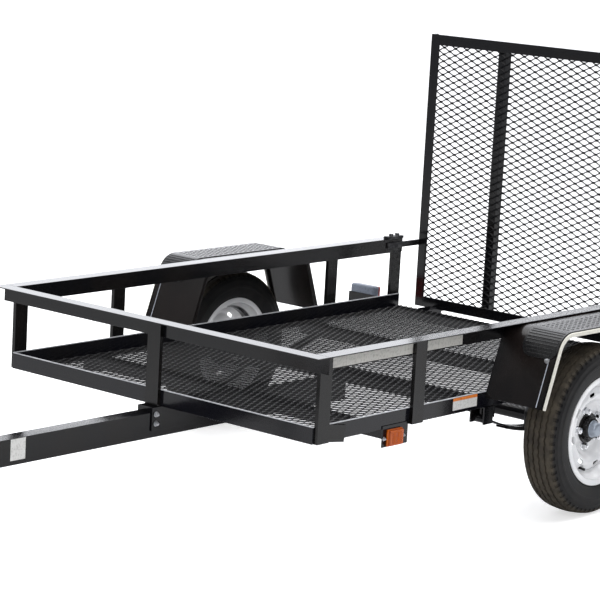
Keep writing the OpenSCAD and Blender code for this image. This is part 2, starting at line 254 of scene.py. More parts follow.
def finish_pair(piece, paint, nodes=(), body="frame"):
    """Finishes a left piece and its mirror image on the right."""
    mirror = Matrix.Diagonal((-1, 1, 1, 1))
    other = copy_at(piece, piece.name.replace("left", "right"), mirror)
    finish_piece(piece, body, paint_of(paint), nodes)
    opposite = [n.replace("left", "right") for n in nodes if n.startswith("left")]
    finish_piece(other, body.replace("left", "right"), paint_of(paint), opposite)


# ---- shader helpers ----


class Value:
    """A socket that takes part in Python arithmetic; each operator adds a Math node."""

    def __init__(self, finish, socket):
        self.finish = finish
        self.socket = socket

    def math(self, operation, *inputs):
        node = self.finish.node(
            "ShaderNodeMath", {"operation": operation}, dict(enumerate(inputs or (self,)))
        )
        return Value(self.finish, node.outputs[0])

    def __add__(self, other):
        return self.math("ADD", self, other)

    def __sub__(self, other):
        return self.math("SUBTRACT", self, other)

    def __rsub__(self, other):
        return self.math("SUBTRACT", other, self)

    def __mul__(self, other):
        return self.math("MULTIPLY", self, other)

    def __abs__(self):
        return self.math("ABSOLUTE")

    __radd__ = __add__
    __rmul__ = __mul__

    def step(self, low, high):
        """0 below low, 1 above high, smooth between."""
        node = self.finish.node(
            "ShaderNodeMapRange",
            {"interpolation_type": "SMOOTHSTEP"},
            {"Value": self, "From Min": low, "From Max": high},
        )
        return Value(self.finish, node.outputs[0])


class Finish:
    """One material with a principled shader, built by expressions on its sockets."""

    def __init__(self, name, colour, roughness, **constants):
        self.material = bpy.data.materials.new(name)
        self.material.use_nodes = True
        self.tree = self.material.node_tree
        self.tree.nodes.clear()
        self.output = self.node("ShaderNodeOutputMaterial")
        self.shader = self.node("ShaderNodeBsdfPrincipled")
        self.tree.links.new(self.shader.outputs[0], self.output.inputs[0])
        self.set("Base Color", colour)
        self.set("Roughness", roughness)
        for key, value in constants.items():
            self.set(key.replace("_", " "), value)
        self.coords = self.node("ShaderNodeTexCoord")
        place = self.node("ShaderNodeSeparateXYZ", {}, {0: self.coords.outputs["Object"]})
        self.x, self.y, self.z = (Value(self, o) for o in place.outputs)

    def node(self, kind, settings=None, inputs=None):
        node = self.tree.nodes.new(kind)
        for key, value in (settings or {}).items():
            setattr(node, key, value)
        for key, value in (inputs or {}).items():
            self.feed(node.inputs[key], value)
        return node

    def feed(self, socket, value):
        if isinstance(value, Value):
            self.tree.links.new(value.socket, socket)
        elif isinstance(value, bpy.types.NodeSocket):
            self.tree.links.new(value, socket)
        elif hasattr(value, "__len__") and socket.type == "RGBA" and len(value) == 3:
            socket.default_value = (*value, 1)
        else:
            socket.default_value = value

    def set(self, name, value):
        self.feed(self.shader.inputs[name], value)

    def noise(self, scale, detail=3.0, stretch=None):
        place = self.coords.outputs["Object"]
        if stretch:
            mapping = self.node("ShaderNodeMapping", {}, {"Vector": place, "Scale": stretch})
            place = mapping.outputs[0]
        node = self.node(
            "ShaderNodeTexNoise",
            {"noise_dimensions": "3D"},
            {"Vector": place, "Scale": scale, "Detail": detail, "Roughness": 0.55},
        )
        return Value(self, node.outputs[0])

    def from_axle(self, node):
        """How far a point is from the axle of the wheel that the node is on."""
        lo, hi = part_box(node)
        along, up = self.y - (lo.y + hi.y) / 2, self.z - (lo.z + hi.z) / 2
        square = along * along + up * up
        return square.math("SQRT")

    def mix(self, share, first, second):
        node = self.node("ShaderNodeMix", {"data_type": "RGBA"})
        self.feed(node.inputs[0], share)
        self.feed(node.inputs[6], first)
        self.feed(node.inputs[7], second)
        return node.outputs[2]

    def bump(self, height, distance):
        node = self.node(
            "ShaderNodeBump", {}, {"Height": height, "Distance": distance, "Strength": 1.0}
        )
        self.set("Normal", node.outputs[0])


def mottled(name, grain, shades, rough, depth, edges=None, **constants):
    """A finish whose colour, roughness and bump follow one noise.

    grain is the noise's scale and detail, shades the two colours, rough the least roughness and
    how much the noise adds, depth the bump's height, and edges where the shades meet.
    """
    f = Finish(name, shades[0], rough[0], **constants)
    cloud = f.noise(*grain)
    f.set("Base Color", f.mix(cloud.step(*edges) if edges else cloud, *shades))
    f.set("Roughness", rough[0] + cloud * rough[1])
    f.bump(cloud, depth)
    return f.material


def black_paint(name="black_paint", base=(0.0035, 0.0036, 0.0048), rough=0.14):
    """Gloss black powder coat: slight orange peel and faint warm mottling."""
    f = Finish(name, base, rough, Specular_IOR_Level=0.34)
    cloud = f.noise(7.0, 4.0)
    grain = f.noise(260.0, 2.0)
    warm = f.mix(cloud.step(0.42, 0.7) * 0.7, base, (0.0085, 0.0065, 0.0055))
    f.set("Base Color", f.mix(grain.step(0.55, 0.75) * 0.3, warm, (0.014, 0.0135, 0.015)))
    f.set("Roughness", rough - 0.07 + cloud * 0.1 + grain * 0.06)
    f.bump(f.noise(420.0, 2.0) * 0.4 + f.noise(90.0, 2.0), 0.00012)
    return f.material


def sill_paint():
    """The gloss black, with a painted highlight: a pale, patchy band just below the sills' top
    edges for the light caught there.
    """
    f = Finish("sill_paint", (0.0045, 0.0047, 0.0075), 0.14, Specular_IOR_Level=0.36)
    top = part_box("left_sill")[1].z
    cloud = f.noise(7.0, 4.0)
    patch = f.noise(40.0, 3.0)
    # painted highlight: a pale band 2 to 3.6 mm below the sill's top, patchy in strength, standing
    # for light caught on the edge
    edge = f.z.step(top - 0.0036, top - 0.0020) * (0.55 + patch * 0.6)
    plain = f.mix(cloud.step(0.42, 0.7), (0.0045, 0.0047, 0.0075), (0.0075, 0.0072, 0.0085))
    f.set("Base Color", f.mix(edge, plain, (0.62, 0.63, 0.66)))
    f.set("Roughness", 0.1 + cloud * 0.1 + edge * 0.2)
    f.bump(f.noise(90.0, 2.0), 0.00012)
    return f.material


def mesh_paint():
    """Painted expanded metal, a little rougher on the cut strands."""
    shades = (0.003, 0.003, 0.004), (0.0058, 0.0058, 0.0072)
    return mottled(
        "mesh_paint", (180.0, 3.0), shades, (0.2, 0.2), 0.0002, (0.5, 0.8), Specular_IOR_Level=0.16
    )


def fender_paint():
    """Black sheet steel with a brown cast and soft streaks."""
    f = Finish("fender_paint", (0.006, 0.0055, 0.0055), 0.24, Specular_IOR_Level=0.35)
    streak = f.noise(5.0, 5.0, (1, 1, 0.35))
    warm = (0.0145, 0.0108, 0.0098)
    f.set("Base Color", f.mix(streak.step(0.35, 0.7), (0.004, 0.0038, 0.0042), warm))
    f.set("Roughness", 0.14 + streak * 0.16)
    f.bump(f.noise(60.0, 3.0), 0.00012)
    return f.material


def zinc():
    """Zinc plate with a fine spangle and dull patches."""
    f = Finish("zinc", (0.55, 0.56, 0.58), 0.3, Metallic=1.0)
    spangle = f.noise(120.0, 2.0)
    cloud = f.noise(18.0, 3.0)
    f.set("Base Color", f.mix(cloud, (0.42, 0.43, 0.45), (0.68, 0.69, 0.71)))
    f.set("Roughness", 0.2 + spangle * 0.25)
    f.bump(spangle, 0.0001)
    return f.material


def dark_steel():
    """Dark plated steel of latches and clamps."""
    shades = (0.035, 0.035, 0.038), (0.13, 0.13, 0.135)
    return mottled(
        "dark_steel", (35.0, 3.0), shades, (0.25, 0.3), 0.0002, (0.4, 0.7), Metallic=0.8
    )


def chrome():
    """Bright plating with faint haze."""
    f = Finish("chrome", (0.78, 0.79, 0.81), 0.08, Metallic=1.0)
    f.set("Roughness", 0.05 + f.noise(90.0) * 0.12)
    return f.material


def grease_cap():
    """Pressed steel cap with a bluish grey wash."""
    shades = (0.24, 0.28, 0.34), (0.42, 0.46, 0.52)
    return mottled("grease_cap", (60.0, 3.0), shades, (0.25, 0.2), 0.0001, Metallic=0.6)


def rubber():
    """Tyre rubber: brown-grey dust on the tread, near black on the sidewall."""
    f = Finish("rubber", (0.02, 0.019, 0.018), 0.6, Specular_IOR_Level=0.25)
    lo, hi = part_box("left_tyre")
    radius = (hi.z - lo.z) / 2
    tread = f.from_axle("left_tyre").step(radius - 0.019, radius - 0.007)
    dust = f.noise(26.0, 5.0)
    fine = f.noise(500.0, 2.0)
    wall = f.mix(dust.step(0.35, 0.72), (0.0068, 0.0066, 0.0072), (0.0155, 0.0145, 0.014))
    crown = f.mix(dust.step(0.3, 0.75), (0.04, 0.034, 0.026), (0.085, 0.071, 0.052))
    f.set("Base Color", f.mix(tread, wall, crown))
    f.set("Roughness", 0.44 + dust * 0.2 + tread * 0.12)
    f.bump(fine * 0.6 + dust, 0.0003)
    return f.material


def pad_rubber():
    """Moulded rubber mat."""
    shades = (0.006, 0.006, 0.0065), (0.017, 0.017, 0.018)
    return mottled(
        "pad_rubber", (300.0, 3.0), shades, (0.2, 0.16), 0.0003, Specular_IOR_Level=0.45
    )


def rim_white():
    """Gloss white stove enamel, with painted shade near black in the well just behind the disc."""
    f = Finish("rim_white", (0.86, 0.86, 0.87), 0.16, Coat_Weight=0.4, Specular_IOR_Level=0.6)
    cloud = f.noise(12.0, 3.0)
    lo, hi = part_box("left_rim")
    reach = f.from_axle("left_rim")
    depth = abs(f.x) - (lo.x + hi.x) / 2
    # painted shade: the ring of the rim's well just behind the disc is coloured near black for the
    # shade inside the wheel
    ring = reach.step(0.095, 0.102) * (1 - reach.step(0.139, 0.143))
    painted_well_shade = ring * (1 - depth.step(0.004, 0.007))
    enamel = f.mix(cloud.step(0.3, 0.8), (0.88, 0.88, 0.885), (0.8, 0.81, 0.83))
    f.set("Base Color", f.mix(painted_well_shade, enamel, (0.03, 0.03, 0.033)))
    f.set("Roughness", 0.1 + cloud * 0.12)
    f.bump(f.noise(220.0, 2.0), 0.00012)
    return f.material


def lens(name, colour, dark):
    """Moulded lens with vertical flutes under a clear face."""
    f = Finish(name, colour, 0.12, Coat_Weight=0.15, Specular_IOR_Level=0.4)
    flute = f.node(
        "ShaderNodeTexWave",
        {"wave_type": "BANDS", "bands_direction": "Y", "wave_profile": "SIN"},
        {"Vector": f.coords.outputs["Object"], "Scale": 55.0, "Distortion": 0.3},
    )
    cloud = f.noise(60.0, 3.0)
    ridges = Value(f, flute.outputs[1])
    f.set("Base Color", f.mix(ridges * 0.55 + cloud * 0.4, colour, dark))
    f.set("Roughness", 0.08 + cloud * 0.12)
    f.bump(ridges, 0.0006)
    return f.material


def sticker(name, colour, worn):
    """A flat printed film finish, slightly worn; the same finish also colours the pale strips of
    painted highlight and painted reflection.
    """
    return mottled(name, (140.0, 4.0), (colour, worn), (0.3, 0.2), 0.00005, (0.45, 0.75))


PAINTS = {}
# name, colour and roughness of the other black coats
COATS = (
    ("post_paint", (0.0032, 0.003, 0.0029), 0.2),
    ("hub_black", (0.006, 0.006, 0.0065), 0.26),
)
# name, colour and worn colour
STICKERS = (
    ("trim_cream", (0.78, 0.76, 0.68), (0.66, 0.63, 0.55)),
    ("lamp_housing", (0.2, 0.23, 0.29), (0.13, 0.15, 0.19)),
    # the next row is a painted highlight: a pale strip for the light caught on the fenders' fold
    ("crease_line", (0.5, 0.53, 0.6), (0.3, 0.32, 0.38)),
    ("label_white", (0.72, 0.72, 0.7), (0.5, 0.5, 0.48)),
    ("label_orange", (0.8, 0.22, 0.03), (0.55, 0.16, 0.03)),
    # the next row is a painted reflection: pale strips for the floor's light reflected on the
    # sill's face
    ("strip_beige", (0.58, 0.57, 0.53), (0.4, 0.395, 0.36)),
)
# name, colour and the colour between its flutes
LENSES = (
    ("amber_lens", (0.68, 0.135, 0.004), (0.3, 0.04, 0.002)),
    ("red_lens", (0.5, 0.012, 0.01), (0.2, 0.004, 0.004)),
)
MAKERS = (
    black_paint, sill_paint, mesh_paint, fender_paint, zinc, dark_steel, chrome, grease_cap,
    rubber, pad_rubber, rim_white,
)


def paint_of(name):
    """The finish of that name; all are made at the first call."""
    if not PAINTS:
        makers = [(make, ()) for make in MAKERS]
        for make, rows in ((black_paint, COATS), (sticker, STICKERS), (lens, LENSES)):
            makers += [(make, row) for row in rows]
        for make, row in makers:
            PAINTS[row[0] if row else make.__name__] = make(*row)
    return PAINTS[name]


# ---- sizes that a user changes ----


def length_value(name, description, default):
    return bpy.props.FloatProperty(
        name=name, description=description, default=default, unit="LENGTH"
    )


class TrailerSizes(bpy.types.PropertyGroup):
    """Sizes of the modelled detail."""

    long_way: length_value("Long way", "Length of a diamond in the mesh", 0.0508)
    floor_short_way: length_value("Floor short way", "Width of a diamond in the floor mesh", 0.0232)
    gate_short_way: length_value("Gate short way", "Height of a diamond in the gate mesh", 0.0246)
    strand: length_value("Strand", "Width of a strand of the mesh", 0.0046)
    strand_tilt: bpy.props.FloatProperty(
        name="Strand tilt",
        description="Angle of a strand to the sheet",
        default=math.radians(38),
        subtype="ANGLE",
    )
    tread_depth: length_value("Tread depth", "Depth of the tyre's grooves", 0.006)


class StageLook(bpy.types.PropertyGroup):
    """Light and floor."""

    floor_colour: bpy.props.FloatVectorProperty(
        name="Floor",
        description="Colour of the studio floor",
        default=(0.8, 0.8, 0.805),
        subtype="COLOR",
    )
    floor_glow: bpy.props.FloatProperty(
        name="Floor glow", description="Extra light of the floor to the eye", default=0.62, min=0.0
    )
    lens_mm: bpy.props.FloatProperty(name="Lens", description="Focal length", default=148.6)


# ---- expanded metal ----

# the sheet's thickness, and how long two strands stay joined
GAUGE = 0.0024
BOND = 0.009


def expanded_sheet(name, width, length, short_way, sizes):
    """Expanded metal from (0, 0) to (width, length): one zigzag strand, repeated."""
    long_way, w = sizes.long_way, sizes.strand
    swing = short_way / 2 - w * math.cos(sizes.strand_tilt) * 0.94
    slant = long_way / 2 - BOND
    deselect()
    bpy.ops.mesh.primitive_cube_add(size=1, location=(0, BOND / 2, 0), scale=(w, BOND, GAUGE))
    piece = bpy.context.object
    piece.name = name
    settle(piece)
    edit_all(piece)
    bpy.ops.transform.rotate(
        value=sizes.strand_tilt, orient_axis="Y", center_override=(0, BOND / 2, 0)
    )
    pick(piece, "FACE", lambda c, n: n.y > 0.9)
    for step in ((swing, slant, 0), (0, BOND, 0), (-swing, slant, 0)):
        bpy.ops.mesh.extrude_region_move(TRANSFORM_OT_translate={"value": step})
    pick(piece, "FACE", lambda c, n: abs(n.y) > 0.9 and (c.y < 1e-6 or c.y > long_way - 1e-6))
    bpy.ops.mesh.delete(type="FACE")
    object_mode()
    periods = int(length / long_way) + 3
    repeat(piece, periods, (0, long_way, 0), use_merge_vertices=True, merge_threshold=1e-5)
    edit_all(piece)
    bpy.ops.transform.translate(value=(0, -long_way, 0))
    bpy.ops.mesh.duplicate_move(
        TRANSFORM_OT_translate={"value": (short_way / 2, -long_way / 2, 0)}
    )
    for height, last in ((0.0, False), (length, True)):
        bpy.ops.mesh.select_all(action="SELECT")
        bpy.ops.mesh.bisect(
            plane_co=(0, height, 0),
            plane_no=(0, 1, 0),
            use_fill=True,
            clear_inner=not last,
            clear_outer=last,
        )
    object_mode()
    count = int((width - short_way / 2) / short_way)
    spare = width - count * short_way
    repeat(piece, count, (short_way, 0, 0))
    piece.data.transform(Matrix.Translation((spare / 2 + short_way / 4 - swing / 2, 0, 0)))
    return piece


class TRAILER_OT_floor(bpy.types.Operator):
    """Build the expanded-metal floor"""

    bl_idname = "trailer.floor"
    bl_label = "Floor mesh"

    def execute(self, context):
        sizes = context.scene.trailer_sizes
        lo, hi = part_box("floor_mesh")
        piece = expanded_sheet(
            "floor_grating", hi.x - lo.x, hi.y - lo.y, sizes.floor_short_way, sizes
        )
        piece.data.transform(Matrix.Translation((lo.x, lo.y, lo.z + 0.0026)))
        finish_piece(piece, "frame", paint_of("mesh_paint"), ["floor_mesh"])
        return {"FINISHED"}


class TRAILER_OT_gate(bpy.types.Operator):
    """Build the ramp gate's mesh"""

    bl_idname = "trailer.gate"
    bl_label = "Gate mesh"

    def execute(self, context):
        sizes = context.scene.trailer_sizes
        lo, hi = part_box("gate_mesh")
        piece = expanded_sheet(
            "gate_grating", hi.z - lo.z, hi.x - lo.x, sizes.gate_short_way, sizes
        )
        middle = (lo.y + hi.y) / 2
        upright = Matrix(((0, 1, 0, lo.x), (0, 0, 1, middle), (1, 0, 0, lo.z), (0, 0, 0, 1)))
        piece.data.transform(upright)
        clean(piece, 1e-7)
        finish_piece(piece, "gate", paint_of("mesh_paint"), ["gate_mesh"])
        return {"FINISHED"}


# ---- fenders ----

# the flat top's share of the length, the bend's radius and the facets in a bend
FLAT_SHARE = 500 / 660
SHOULDER = 0.07
ARC_STEPS = 14


def fender_profile(offset, box, start=None):
    """Points (y, z) along a fender's outline, front foot to rear foot, set in by offset.

    start, from 0 at the foot to 1 at the shoulder, shortens both ends.
    """
    lo, hi = box
    mid, half, rise = (lo.y + hi.y) / 2, (hi.y - lo.y) / 2, hi.z - lo.z
    flat = half * FLAT_SHARE
    slope = math.atan2(rise, half - flat)
    reach = SHOULDER * math.tan(slope / 2)
    centre = Vector((-flat + reach, rise - SHOULDER))
    radius = SHOULDER - offset
    arc = [
        centre + radius * Vector((math.cos(a), math.sin(a)))
        for a in (math.pi / 2 + slope * (1 - i / ARC_STEPS) for i in range(ARC_STEPS + 1))
    ]
    foot = Vector((-half + offset / math.sin(slope), 0))
    front = [foot if start is None else foot.lerp(arc[0], start)] + arc
    rear = [Vector((-p.x, p.y)) for p in reversed(front)]
    return [(mid + p.x, lo.z + p.y) for p in front + rear]


def strip_along(name, profile, x0, width):
    """A ribbon along a side profile, drawn as a chain and extruded across."""
    piece = chain(name, [(x0, y, z) for y, z in profile])
    edit_all(piece)
    bpy.ops.mesh.extrude_region_move(TRANSFORM_OT_translate={"value": (width, 0, 0)})
    bpy.ops.mesh.select_all(action="SELECT")
    bpy.ops.mesh.normals_make_consistent(inside=False)
    object_mode()
    if sum(p.normal.z * p.area for p in piece.data.polygons) < 0:
        edit_all(piece)
        bpy.ops.mesh.flip_normals()
        object_mode()
    return piece


def hex_nut(name, base, axis, across, height, stud):
    """A chamfered hexagon nut standing on base along axis, with its washer and stud."""
    base, axis = Vector(base), Vector(axis).normalized()
    parts = [
        rod(name + suffix, base, base + axis * rise, wide, sides, edge)
        for suffix, rise, wide, sides, edge in (
            ("", height, across / 2, 6, 0.0008),
            ("_washer", height * 0.18, across * 0.62, 20, 0.0004),
            ("_stud", height + stud, across * 0.27, 12, 0.0006),
        )
    ]
    return join(name, parts)


# ---- wheels ----

# a tyre: blocks round it, half the tread's width, its crown, and the grooves across it
TREAD_BLOCKS = 132
TREAD_HALF = 0.047
TREAD_DROP = 0.0055
GROOVES = (-0.0305, -0.0102, 0.0102, 0.0305)
GROOVES_HALF = 0.036
GROOVES_DEEP = 0.02
ZIGZAG = 0.0017
# half width and how far in from the tread, from the shoulder to the bead
SIDEWALL = (
    (0.0505, 0.0075), (0.0540, 0.0125), (0.0568, 0.0205), (0.0588, 0.0290),
    (0.0596, 0.0300), (0.0606, 0.0385), (0.0612, 0.0480), (0.0618, 0.0490),
    (0.0619, 0.0560), (0.0612, 0.0570), (0.0608, 0.0680), (0.0592, 0.0770),
    (0.0592, 0.0790), (0.0566, 0.0870), (0.0527, 0.0905), (0.0522, 0.1055),
)
# the wheel nuts, the windows and the valve
LUG_CIRCLE = 0.05715
LUG_START = math.radians(18)
LUGS = 5
WINDOWS = 8
WINDOW_START = 0.2
VALVE_TURN = 2.75
VALVE_CIRCLE = 0.125
# the rim's section: how far in from its side and its greatest radius
RIM_FLANGE = (
    (0, 0.0150), (0, 0.0016), (0.0012, 0), (0.0033, 0), (0.0040, 0.0015),
    (0.0042, 0.0115), (0.0060, 0.0130), (0.0130, 0.0148), (0.0170, 0.0170),
)
RIM_SEAT = ((0.0012, 0.0170), (0.0050, 0.0176), (0.0125, 0.0190), (0.0160, 0.0215))
# closed sections as (along the axle, radius): the disc, front then back, and the hub's pieces
DISC = (
    (0.004, 0.036), (0.004, 0.062), (0.0055, 0.073), (0.0105, 0.0815), (0.019, 0.088),
    (0.0265, 0.094), (0.0305, 0.101), (0.0315, 0.108), (0.0305, 0.115), (0.0265, 0.1215),
    (0.0205, 0.128), (0.014, 0.1335), (0.0085, 0.1335), (0.0155, 0.1255), (0.0215, 0.1195),
    (0.0255, 0.1135), (0.0265, 0.108), (0.0255, 0.1025), (0.0215, 0.0975), (0.0140, 0.0912),
    (0.0055, 0.0845), (0.0012, 0.0765), (0, 0.07), (0, 0.036),
)
HUB_BARREL = (
    (-0.020, 0.0335), (-0.0095, 0.044), (-0.0090, 0.0700), (-0.0075, 0.0715), (-0.001, 0.0715),
    (-0.0002, 0.0700), (-0.0002, 0.0358), (0.0200, 0.0345), (0.0245, 0.0330), (0.0260, 0.0300),
    (0.0260, 0.0145),
)
HUB_PLATE = (
    (0.0045, 0.034), (0.0060, 0.034), (0.0085, 0.040), (0.0088, 0.0462), (0.0075, 0.0475),
    (0.0045, 0.0478),
)
CAP_RIM = (
    (0.024, 0.0145), (0.024, 0.0262), (0.0268, 0.0272), (0.0288, 0.0262), (0.0296, 0.0236),
)
# the cap's domed end, as (back from its tip, radius)
CAP_DOME = ((0.006, 0.0222), (0.0025, 0.0202), (0.0006, 0.0165), (0, 0.009), (0, 0.0006))


class TRAILER_OT_tyres(bpy.types.Operator):
    """Build the two tyres with their treads"""

    bl_idname = "trailer.tyres"
    bl_label = "Tyres"

    def execute(self, context):
        lo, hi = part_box("left_tyre")
        centre, radius = (lo + hi) / 2, (hi.z - lo.z) / 2
        depth = context.scene.trailer_sizes.tread_depth
        tread = [(-TREAD_HALF, radius - TREAD_DROP)]
        for mid in GROOVES:
            for x, drop in ((-0.0034, 0), (-0.0022, depth), (0.0022, depth), (0.0034, 0)):
                crown = TREAD_DROP * ((mid + x) / TREAD_HALF) ** 2
                tread.append((mid + x, radius - crown - drop))
        tread.append((TREAD_HALF, radius - TREAD_DROP))
        side = [(x, radius - drop) for x, drop in SIDEWALL]
        section = [(-x, r) for x, r in reversed(side)] + tread + side
        tyre = lathe("left_tyre_cover", section, TREAD_BLOCKS, centre)

        def polar(co):
            """How far a point is from the axle, and how many tread blocks round it."""
            y, z = co.y - centre.y, co.z - centre.z
            return math.hypot(y, z), math.atan2(z, y) * TREAD_BLOCKS / math.tau

        def zigzag(co, odd):
            reach, block_number = polar(co)
            groove = abs(co.x - centre.x) < GROOVES_HALF and reach > radius - GROOVES_DEEP
            return groove and (round(block_number) % 2 == 1) == odd

        for odd, shift in ((True, ZIGZAG), (False, -ZIGZAG)):
            pick(tyre, "VERT", lambda co, odd=odd: zigzag(co, odd))
            bpy.ops.transform.translate(value=(shift, 0, 0))

        def notch(c, n):
            reach, block_number = polar(c)
            shoulder = radius - 0.018 < reach < radius - 0.0058
            return (
                shoulder and abs(c.x - centre.x) > TREAD_HALF and math.floor(block_number) % 2 == 0
            )

        sink(tyre, notch, 0.0009, 0.0024, each=True)
        clean(tyre, 1e-6)
        smooth(tyre, 28)
        finish_pair(tyre, "rubber", ["left_tyre"], "left_wheel")
        return {"FINISHED"}


def around(centre, radius, angle, x):
    """A point on a circle about the wheel's axle."""
    return centre + Vector((x, -radius * math.sin(angle), radius * math.cos(angle)))


class TRAILER_OT_rims(bpy.types.Operator):
    """Build the two pressed rims"""

    bl_idname = "trailer.rims"
    bl_label = "Rims"

    def execute(self, context):
        lo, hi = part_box("left_rim")
        half = (hi.x - lo.x) / 2
        centre, radius = (lo + hi) / 2, (hi.z - lo.z) / 2
        outer = [(half - x, radius - drop) for x, drop in RIM_FLANGE] + [(0.0160, radius - 0.0350)]
        inner = [(half - x, radius - drop) for x, drop in RIM_SEAT] + [(0.0150, radius - 0.0390)]
        section = (
            [(-x, r) for x, r in outer]
            + [(x, r) for x, r in reversed(outer)]
            + inner
            + [(-x, r) for x, r in reversed(inner)]
        )
        barrel = lathe("left_rim_shell", section, 120, centre)
        smooth(barrel, 32)
        disc = lathe("left_rim_disc", DISC, 96, centre)
        window = block(
            "window",
            centre + Vector((-0.02, -0.0150, 0.1045)),
            centre + Vector((0.06, 0.0150, 0.1175)),
            0.0062,
            5,
        )
        ends = [around(centre, LUG_CIRCLE, 0, x) for x in (-0.02, 0.03)]
        hole = rod("hole", *ends, 0.0078)
        ends = [around(centre, VALVE_CIRCLE, VALVE_TURN, x) for x in (-0.02, 0.06)]
        cutters = [rod("valve_cut", *ends, 0.0085)]
        for spare, count, start in ((window, WINDOWS, WINDOW_START), (hole, LUGS, LUG_START)):
            for i in range(count):
                turn = Matrix.Rotation(math.tau / count * i + start, 4, "X")
                placed = Matrix.Translation(centre) @ turn @ Matrix.Translation(-centre)
                cutters.append(copy_at(spare, f"{spare.name}_{i}", placed))
            bpy.data.objects.remove(spare)
        cutter = join("cutters", cutters)
        modify(disc, "BOOLEAN", operation="DIFFERENCE", object=cutter, solver="EXACT")
        bpy.data.objects.remove(cutter)
        clean(disc, 1e-6)
        smooth(disc, 38)
        root = around(centre, VALVE_CIRCLE, VALVE_TURN, 0.010)
        tip = around(centre, VALVE_CIRCLE + 0.004, VALVE_TURN, 0.040)
        stem = rod("left_valve_stem", root, tip, 0.0042, 12, 0.0008)
        rim = join("left_rim_shell", [barrel, disc])
        finish_pair(rim, "rim_white", ["left_rim"], "left_wheel")
        finish_pair(stem, "rubber", (), "left_wheel")
        return {"FINISHED"}


class TRAILER_OT_hubs(bpy.types.Operator):
    """Build the hubs, their grease caps and the wheel nuts"""

    bl_idname = "trailer.hubs"
    bl_label = "Hubs"

    def execute(self, context):
        lo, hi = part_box("left_rim")
        centre = (lo + hi) / 2
        back, tip = (corner.x - centre.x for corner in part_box("left_hub"))
        rear = ((back, 0.0145), (back, 0.031), (back + 0.003, 0.0335))
        dome = tuple((tip - x, r) for x, r in CAP_DOME) + ((0.026, 0.0006),)
        body = smooth(lathe("left_hub_body", rear + HUB_BARREL, 64, centre), 32)
        plate = smooth(lathe("left_hub_plate", HUB_PLATE, 60, centre), 32)
        cap = smooth(lathe("left_grease_cap", CAP_RIM + dome, 48, centre), 40)
        nuts = []
        for i in range(LUGS):
            seat = around(centre, LUG_CIRCLE, math.tau / LUGS * i + LUG_START, 0.004)
            nuts.append(hex_nut(f"nut_{i}", seat, (1, 0, 0), 0.021, 0.017, 0.003))
        nut_set = join("left_wheel_nuts", nuts)
        black = join("left_hub_body", [body, plate])
        finish_pair(black, "hub_black", ["left_hub"], "left_wheel")
        finish_pair(cap, "grease_cap", (), "left_wheel")
        finish_pair(nut_set, "chrome", (), "left_wheel")
        return {"FINISHED"}


class TRAILER_OT_fenders(bpy.types.Operator):
    """Build the fenders with their rolled edges"""

    bl_idname = "trailer.fenders"
    bl_label = "Fenders"

    def execute(self, context):
        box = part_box("left_fender")
        lo, hi = box

        def band(name, x, width, thickness, edge=0, segments=2, offset=0):
            """A folded strip along the outline, with a wall's thickness and eased edges."""
            piece = strip_along(name, fender_profile(offset, box), x, width)
            modify(piece, "SOLIDIFY", thickness=thickness, offset=-1)
            if edge:
                bevel(piece, edge, segments)
            return piece

        sheet = band("left_fender_sheet", lo.x, hi.x - lo.x - 0.004, 0.0025)
        inner = band("lip", lo.x, 0.003, 0.014, 0.0008)
        roll = band("roll", hi.x - 0.0125, 0.0085, 0.0125, 0.003, 3)
        sheet = smooth(join("left_fender_sheet", [sheet, inner, roll]))
        trim = smooth(
            band("left_fender_trim", hi.x - 0.0052, 0.005, 0.0135, 0.0022, 3, offset=0.0003)
        )
        # painted highlight: a pale strip standing for the light caught on the fold that runs up the
        # front and rear panels beside the trim
        profile = fender_profile(-0.0009, box, 0.02)
        runs = (profile[:5], profile[-5:])
        folds = [strip_along("fold", run, hi.x - 0.0300, 0.0026) for run in runs]
        highlight_strip = join("left_fender_crease", folds)
        modify(highlight_strip, "SOLIDIFY", thickness=0.0012, offset=-1)
        finish_pair(sheet, "fender_paint", ["left_fender"])
        finish_pair(trim, "trim_cream")
        finish_pair(highlight_strip, "crease_line")
        return {"FINISHED"}


# where the mat starts up the fender's slope, its ribs and its raised diamonds
PAD_START = 0.82
RIBS = 9
RIB_GAP = 0.0105
STUD_GAP_X = 0.0150
STUD_GAP_Y = 0.0254
STUD_ROWS = 16


